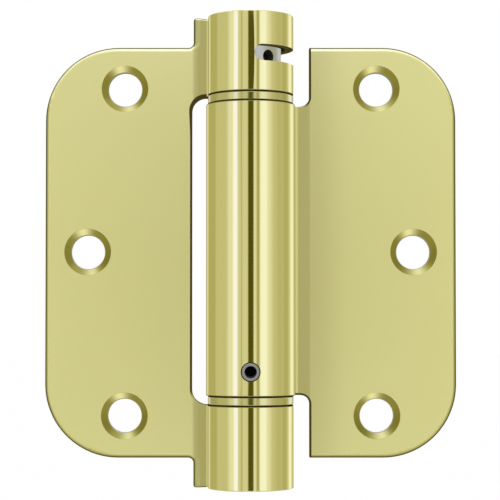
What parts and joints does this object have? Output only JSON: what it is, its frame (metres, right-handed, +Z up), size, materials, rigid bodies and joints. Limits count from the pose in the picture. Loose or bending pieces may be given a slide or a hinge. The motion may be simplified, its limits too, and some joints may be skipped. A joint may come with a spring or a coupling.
{
  "type": "spring hinge",
  "caption": "Self-closing butt hinge with rounded leaf corners, countersunk screw holes, a rolled barrel and a slotted knuckle over a torsion spring winder.",
  "frame": {"origin": "on the pin axis, halfway up the barrel and the leaves", "axes": "+Z up along the pin axis with the winder slot at the top, +X towards the door leaf, -Y out of the countersunk faces"},
  "size_m": [0.0888, 0.0192, 0.1018],
  "materials": {
    "leaf_brass": "bright polished barrel, satin leaves",
    "washer_brass": "satin",
    "cap_brass": "polished",
    "winder_steel": "zinc plated, turned",
    "pin_steel": "bright steel",
    "spring_steel": "oiled spring wire"
  },
  "bodies": {
    "frame": {"frame_leaf": "leaf_brass", "top_cap": "cap_brass", "bottom_cap": "cap_brass", "lower_washer": "washer_brass"},
    "door": {"door_leaf": "leaf_brass", "spring_anchor": "winder_steel", "anchor_pin": "pin_steel", "upper_washer": "washer_brass", "torsion_spring": "spring_steel"},
    "winder": {"tension_winder": "winder_steel"}
  },
  "joints": [
    {"name": "leaf_swing", "type": "hinge", "parent": "frame", "child": "door", "pos_m": [0, 0, 0], "axis": [0, 0, 1], "range_deg": [-180, 0]},
    {"name": "winder_turn", "type": "hinge", "parent": "door", "child": "winder", "pos_m": [0, 0, 0], "axis": [0, 0, 1], "range_deg": [-240, 0], "stiffness_Nm_per_rad": 0.312, "deforming": ["torsion_spring"]}
  ]
}
